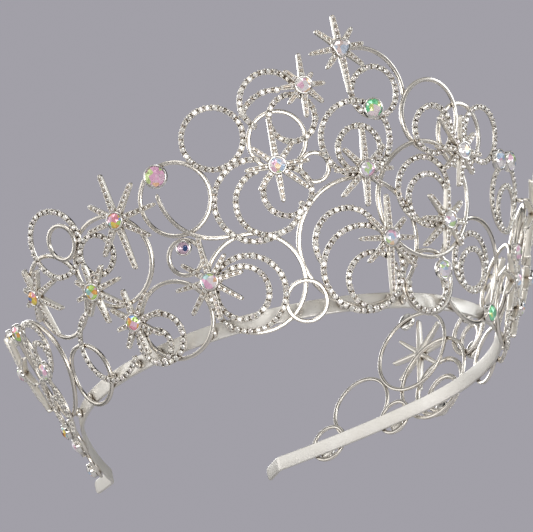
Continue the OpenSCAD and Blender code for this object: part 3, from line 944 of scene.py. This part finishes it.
# Along, up, layer and radius of the rings that cross the strip
SOLDERED_RINGS = [
    (-7.5, 20, 0, 19),
    on_hem(-38, 1, 14.5),
    on_hem(34, 0, 16),
    on_hem(13, 1, 9.5),
]
PAIRED_SOLDERED_RINGS = [
    (87.2, 12, 1, 11.2),
    on_hem(63, 0, 11.5),
    on_hem(101, 0, 9.5),
    on_hem(178, 0, 6.5),
]
PAIRED_WEDGES = [(122, 1), (155.4, 0)]
SINGLE_BEADS = [(27.6, 48.1, 2, 4), (56.5, 43, 1, 4), (-55, 17, 0, 4), (-52.7, 21, 0, 4)]
PAIRED_BEADS = [(87, 36, 0, 2)]


def build_solder():
    build = Build()

    def ring_wedges(along, up, layer, radius):
        drop = up - STRIP_HEIGHT / 2 / math.cos(LEAN)
        reach = math.sqrt(radius**2 - drop**2)
        solder_wedge(build, along - reach, layer)
        solder_wedge(build, along + reach, layer)

    for ring in SOLDERED_RINGS:
        ring_wedges(*ring)
    for place in SINGLE_BEADS:
        solder_bead(build, *place)
    for side in (1, -1):
        for along, *rest in PAIRED_SOLDERED_RINGS:
            ring_wedges(side * along, *rest)
        for along, layer in PAIRED_WEDGES:
            solder_wedge(build, side * along, layer)
        for along, *rest in PAIRED_BEADS:
            solder_bead(build, side * along, *rest)
    build.finish("solder_lumps", [SILVER], ["solder"], "cup_metal")


build_strip()
build_solder()

# ---------------------------------------------------------------- plain rings

plain_node("great_ring", (-7.5, 20, 0, 19))
plain_node("left_front_ring", on_hem(-38, 1, 14.5))
plain_node("right_low_ring", on_hem(34, 0, 16))
plain_node("side_low_rings", on_hem(63, 0, 11.5), mirrored=True)
plain_node("left_high_ring", (-52.5, 43, 0, 10.8))
plain_node("left_stone_ring", (-54.5, 25.7, 0, 5.2))
plain_node("left_sweep_arc", (-42, 45.5, 1, 17.5, 180, 273))
plain_node("temple_rings", (-74, 33, 1, 13.6), mirrored=True)
plain_node("back_rings", (-97.6, 33, 0, 13), mirrored=True)
plain_node("upper_left_ring", (-25.5, 52.5, 0, 8.5))
plain_node("small_rings", on_hem(-25.5, 2, 6), (-17.8, 43, 1, 4.3))
plain_node("peak_arc", (-4.5, 62.5, 0, 15, 0, 105))
plain_node("right_peak_ring", (14, 58, 1, 11))
plain_node("right_high_ring", (25, 54, 0, 9.8))
plain_node("right_big_ring", (12, 32.5, 2, 17.4))
plain_node("right_stone_ring", on_hem(13, 1, 9.5))
plain_node("arm_tall_rings", (141, 28, 0, 15), mirrored=True)
plain_node("arm_low_rings", on_hem(132.5, 1, 15), (-122, 19.6, 1, 16.4))
plain_node("arm_rear_rings", (164.5, 14.5, 1, 11.5), mirrored=True)
plain_node(
    "rear_hem_rings",
    on_hem(101, 0, 9.5),
    on_hem(149.5, 0, 6),
    on_hem(178, 0, 6.5),
    mirrored=True,
)
plain_node("back_small_rings", (-84.3, 45, 3, 5.2), mirrored=True)

# ---------------------------------------------------------------- stone-set rings and crescents

crystal_node("back_crystal_rings", (-87.5, 46, 2, [whole(10.2)]), mirrored=True)
crystal_node("upper_left_crystal_ring", (-40, 56.8, 1, [whole(9.1)]))
crystal_node(
    "upper_left_crescent",
    (-26, 64, 2, [(8.6, (0, 0), 20, 235), (11, (1, -8), 75, 155), whole(6.9, (5.8, -6))]),
)
crystal_node(
    "left_crescent",
    (-33.5, 36.3, 2, [(12, (0, 0), 70, 300), (9.7, (3.8, -1.3), 95, 350), whole(7.1, (9.8, 0.5))]),
)
crystal_node("centre_crystal_rings", (-7.5, 50.3, 3, [whole(11), whole(6.8, (0.7, -3.2))]))
crystal_node("peak_crystal_ring", (-1.8, 64, 2, [whole(7.5)]))
crystal_node(
    "centre_crescent",
    (-8.5, hem(12.6, CRYSTAL_HALF, 3), 3, [whole(12.6), (10, (-4.3, 8), 20, 215), whole(8.2, (2.8, -3.7))]),
)
crystal_node("left_low_crescent", (-40.5, hem(11, CRYSTAL_HALF, 3), 3, [whole(11), whole(7.7, (-1.5, 0.6))]))
crystal_node(
    "side_small_crescents",
    (-69, hem(7.5, CRYSTAL_HALF, 1), 1, [whole(7.5), whole(4.8, (-2.1, -1.6))]),
    mirrored=True,
)
crystal_node("temple_crescents", (-76, 36.5, 3, [whole(6)]), mirrored=True)
crystal_node("right_crescent", (12, 35.5, 1, [whole(9.8), whole(7.8, (1.7, -3))]))
crystal_node("right_crystal_ring", (13.5, 53.5, 3, [whole(7.2)]))
crystal_node("right_high_crystal_ring", (31, 55.5, 2, [whole(8.5)]))
crystal_node("right_low_crystal_arc", (12, hem(7.2, CRYSTAL_HALF, 2), 2, [(7.2, (0, 0), 165, 405)]))
crystal_node("side_crystal_arcs", (-87.2, 12, 1, [(11.2, (0, 0), 95, 318)]), mirrored=True)
crystal_node("right_small_crescent", (31, 16, 1, [whole(8.5), whole(6.5, (1.1, -2.5))]))
crystal_node("right_side_crescent", (48, 40.5, 1, [whole(10.5), whole(7.2, (1.8, -3))]))
crystal_node("arm_high_crescents", (118, 26, 2, [whole(8.5), whole(5, (-0.6, -3.5))]), mirrored=True)
crystal_node(
    "arm_low_crescents",
    (131, hem(10.5, CRYSTAL_HALF, 2), 2, [whole(10.5), whole(6.5, (-1.1, -3.2))]),
    mirrored=True,
)

# ---------------------------------------------------------------- stars and their stones
# Each star: along, up, layer, rays clockwise from the top, tilt

stones = Build()
peak_rays = [10, 7.5, 8, 9, 14, 7.5, 9.5, 9]
star_node("peak_star", stones, (-9.5, 77, 3), peak_rays, tilt=8, colour=PEAK, depth=0.13)
star_node("upper_left_star", stones, (-18.5, 67, 3), [9.5, 5, 7, 8, 9.5, 7, 7, 7])
star_node("left_star", stones, (-27, 45, 3), [14.5, 9, 10, 11.5, 11, 9, 9.5, 9])
star_node("centre_star", stones, (-6.5, 40.8, 4), [13.5, 10, 9.5, 7.5, 11, 11, 9.5, 9])
star_node("centre_low_star", stones, (-1.5, 20.3, 4), [13, 8.5, 9.5, 12.5, 17, 10, 9.5, 9])
star_node("left_low_star", stones, (-49, 16.8, 4), [13.5, 9, 10, 11, 12, 11.5, 11, 10], colour=BLUSH)
star_node("right_side_star", stones, (58, 17, 2), [11, 9.5, 9, 9.5, 10.5, 9, 9, 9.5])
star_node("right_high_star", stones, (21, 48, 4), [11, 9, 10, 9, 11, 9, 10, 13])
star_node("right_low_star", stones, (17.5, 26.5, 3), [10, 9, 9, 10, 9, 12, 9, 10])
for node, place, rays in [
    ("temple_stars", (-66.5, 43, 4), [14.5, 12, 13, 11.5, 15.5, 12, 11, 10.5]),
    ("back_stars", (-80, 27, 4), [9, 8.5, 10, 10.5, 10.5, 8.5, 8, 8]),
    ("side_stars", (-73.5, 13.5, 2), [10.5, 9.5, 9, 9.5, 10.5, 9, 7.5, 9.5]),
    ("rear_stars", (-103.5, 37, 1), [9.5, 9, 12, 12, 14, 9, 8, 7]),
    ("arm_stars", (-141, 29, 3), [14, 13, 13, 12, 16, 12, 11.5, 12]),
]:
    star_node(node, stones, place, rays, mirrored=True, colour=VIVID)
stones.finish("star_stones_cut", STONES, ["star_stones"], "stone_glass")

# ---------------------------------------------------------------- free stones
# Each: along, up, lift of its cup, radius, colour

SINGLE_BEZELS = [
    (-54.9, 51, 1.1, 3.1, BLUSH),
    (-53.8, 28.5, 1.1, 1.9, FOIL),
    (-3.4, 58.8, 4.4, 2.7, GREEN),
    (16.5, 11.5, 3.3, 2.6, PALE),
    (38, 49.5, 3.3, 2.9, PALE),
    (45.5, 51.5, 2.2, 2.9, PALE),
    (51.5, 24, 4.4, 2.5, PALE),
    (43, 2.2, 1.1, 2.5, GREEN),
]
PAIRED_BEZELS = [
    (120.5, 34, 3.3, 2.7, VIVID),
    (117.5, 18.3, 3.3, 2.7, PALE),
    (144.5, 43, 1.1, 2.7, VIVID),
    (149.5, 1.4, 1.1, 2.2, PALE),
    (179.5, 1.4, 1.1, 2.2, PALE),
    (131.5, 1.7, 3.3, 2.2, VIVID),
]


def foil_stone(build, face, lift, radius):
    """A pink foil dish with a small dark stone, a little off its centre."""
    floor = CUP_FLOOR + 0.05
    dish = [(0, floor), (0.5 * radius, floor), (radius - 0.2, CUP_FLOOR + SEAT_DEPTH - 0.3)]
    lathe(build, face, lift, [*dish, (radius - 0.2, CUP_FLOOR), (0, CUP_FLOOR)], FOIL)
    size = 0.5 * radius
    spot = face.origin + face.z * (lift + floor) + face.x * 0.22 * radius - face.y * 0.1 * radius
    build.many(BIG_GEM, alone(spot, face.x, face.y, face.z), (size, size, 1.1 * size), DARK, False)


def build_bezels():
    cups, free_stones = Build(), Build()
    places = [*SINGLE_BEZELS, *PAIRED_BEZELS, *((-along, *rest) for along, *rest in PAIRED_BEZELS)]
    for along, up, lift, radius, colour in places:
        face = Face(along, up)
        lathe(cups, face, lift, cup_profile(radius), 0)
        if colour == FOIL:
            foil_stone(free_stones, face, lift, radius)
        else:
            stone_at(free_stones, face, lift, radius, colour)
    cups.finish("bezel_cups_turned", [CUP], ["bezel_cups"], "cup_metal")
    free_stones.finish("bezel_stones_cut", STONES, ["bezel_stones"], "stone_glass")


build_bezels()

# ---------------------------------------------------------------- stage, light and camera


def stage_plane(name, corners, colour, rough):
    mesh = bpy.data.meshes.new(name)
    mesh.from_pydata(corners, [], [(0, 1, 2, 3)])
    piece = bpy.data.objects.new(name, mesh)
    bpy.context.collection.objects.link(piece)
    look = Look(name)
    look.paint(look.clouded(3, 4, tuple(0.97 * c for c in colour), colour))
    look.set(Roughness=rough)
    mesh.materials.append(look.material)


FLOOR = -0.8
SPAN = 4.0
stage_plane(
    "studio_floor",
    [(-SPAN, -SPAN, FLOOR), (SPAN, -SPAN, FLOOR), (SPAN, SPAN, FLOOR), (-SPAN, SPAN, FLOOR)],
    (0.78, 0.77, 0.79),
    0.9,
)


def softbox(name, place, size, power, colour):
    """A rectangular area light that faces the crown."""
    lamp = bpy.data.lights.new(name, "AREA")
    lamp.shape = "RECTANGLE"
    lamp.size, lamp.size_y = size
    lamp.energy = power
    lamp.color = colour
    piece = bpy.data.objects.new(name, lamp)
    bpy.context.collection.objects.link(piece)
    piece.location = place
    piece.rotation_euler = (Vector(LIT_CENTRE) - Vector(place)).to_track_quat("-Z", "Y").to_euler()


LIT_CENTRE = (0.0, -0.02, 0.035)
WARM, COOL, WHITE = (1.0, 0.98, 0.95), (0.94, 0.97, 1.0), (1.0, 1.0, 1.0)
softbox("key_light", (-0.55, -0.75, 0.75), (0.6, 0.45), 2.6, WARM)
softbox("side_light", (0.85, -0.45, 0.25), (0.3, 0.7), 1.8, COOL)
softbox("back_light", (0.1, 0.9, 0.6), (0.7, 0.3), 3, WHITE)
softbox("arm_light", (-0.85, 0.35, 0.4), (0.9, 0.8), 2.1, WARM)
softbox("low_light", (-0.3, -0.8, -0.3), (0.9, 0.22), 3.0, WARM)


def studio_world():
    """A pale studio. Reflections also find darker panels in it; the view straight past the crown is plain."""
    world = bpy.data.worlds.new("studio")
    bpy.context.scene.world = world
    wiring = Wiring(world, "Generated")
    noise = wiring.noise(2.2, 1.5)
    panels = wiring.ramp(noise.outputs["Fac"], (0.46, (0.02, 0.02, 0.02)), (0.52, (1.0, 1.0, 1.0)))
    height = wiring.node("ShaderNodeSeparateXYZ")
    wiring.link(wiring.place, height.inputs["Vector"])
    lift = wiring.node("ShaderNodeMapRange")
    lift.inputs["From Min"].default_value = -1
    wiring.link(height.outputs["Z"], lift.inputs["Value"])
    levels = [(0.0, 0.4), (0.42, 1.0), (0.72, 1.0), (0.8, 0.3), (1.0, 1.0)]
    stops = [(position, (level, 0.985 * level, 0.955 * level)) for position, level in levels]
    bands = wiring.ramp(lift.outputs["Result"], *stops)
    reflected = wiring.nodes["Background"]
    reflected.inputs["Strength"].default_value = 0.72
    wiring.link(wiring.multiply(panels, bands), reflected.inputs["Color"])
    plain = wiring.node("ShaderNodeBackground")
    plain.inputs["Color"].default_value = (0.36, 0.35, 0.39, 1)
    choose = wiring.node("ShaderNodeMixShader")
    wiring.link(wiring.node("ShaderNodeLightPath").outputs["Is Camera Ray"], choose.inputs["Fac"])
    wiring.link(reflected.outputs["Background"], choose.inputs[1])
    wiring.link(plain.outputs["Background"], choose.inputs[2])
    wiring.link(choose.outputs["Shader"], wiring.nodes["World Output"].inputs["Surface"])


def place_camera():
    azimuth, elevation, roll = (math.radians(angle) for angle in (-29, -21, -12.8))
    distance = 0.6
    aim = Vector((-55.8, -102.1, 0)) * MM
    level = math.cos(elevation)
    back = Vector((math.sin(azimuth) * level, -math.cos(azimuth) * level, math.sin(elevation)))
    right = (-back).cross(Vector((0, 0, 1))).normalized()
    up = right.cross(-back)
    turned_right = math.cos(roll) * right + math.sin(roll) * up
    turned_up = -math.sin(roll) * right + math.cos(roll) * up
    data = bpy.data.cameras.new("photo_camera")
    data.lens = 148.86
    data.sensor_width = 36
    data.clip_start = 0.01
    camera = bpy.data.objects.new("photo_camera", data)
    bpy.context.collection.objects.link(camera)
    place = aim + back * distance
    camera.matrix_world = Matrix(
        (
            (turned_right.x, turned_up.x, back.x, place.x),
            (turned_right.y, turned_up.y, back.y, place.y),
            (turned_right.z, turned_up.z, back.z, place.z),
            (0, 0, 0, 1),
        )
    )
    bpy.context.scene.camera = camera


studio_world()
place_camera()
bpy.context.scene.view_settings.view_transform = "Standard"
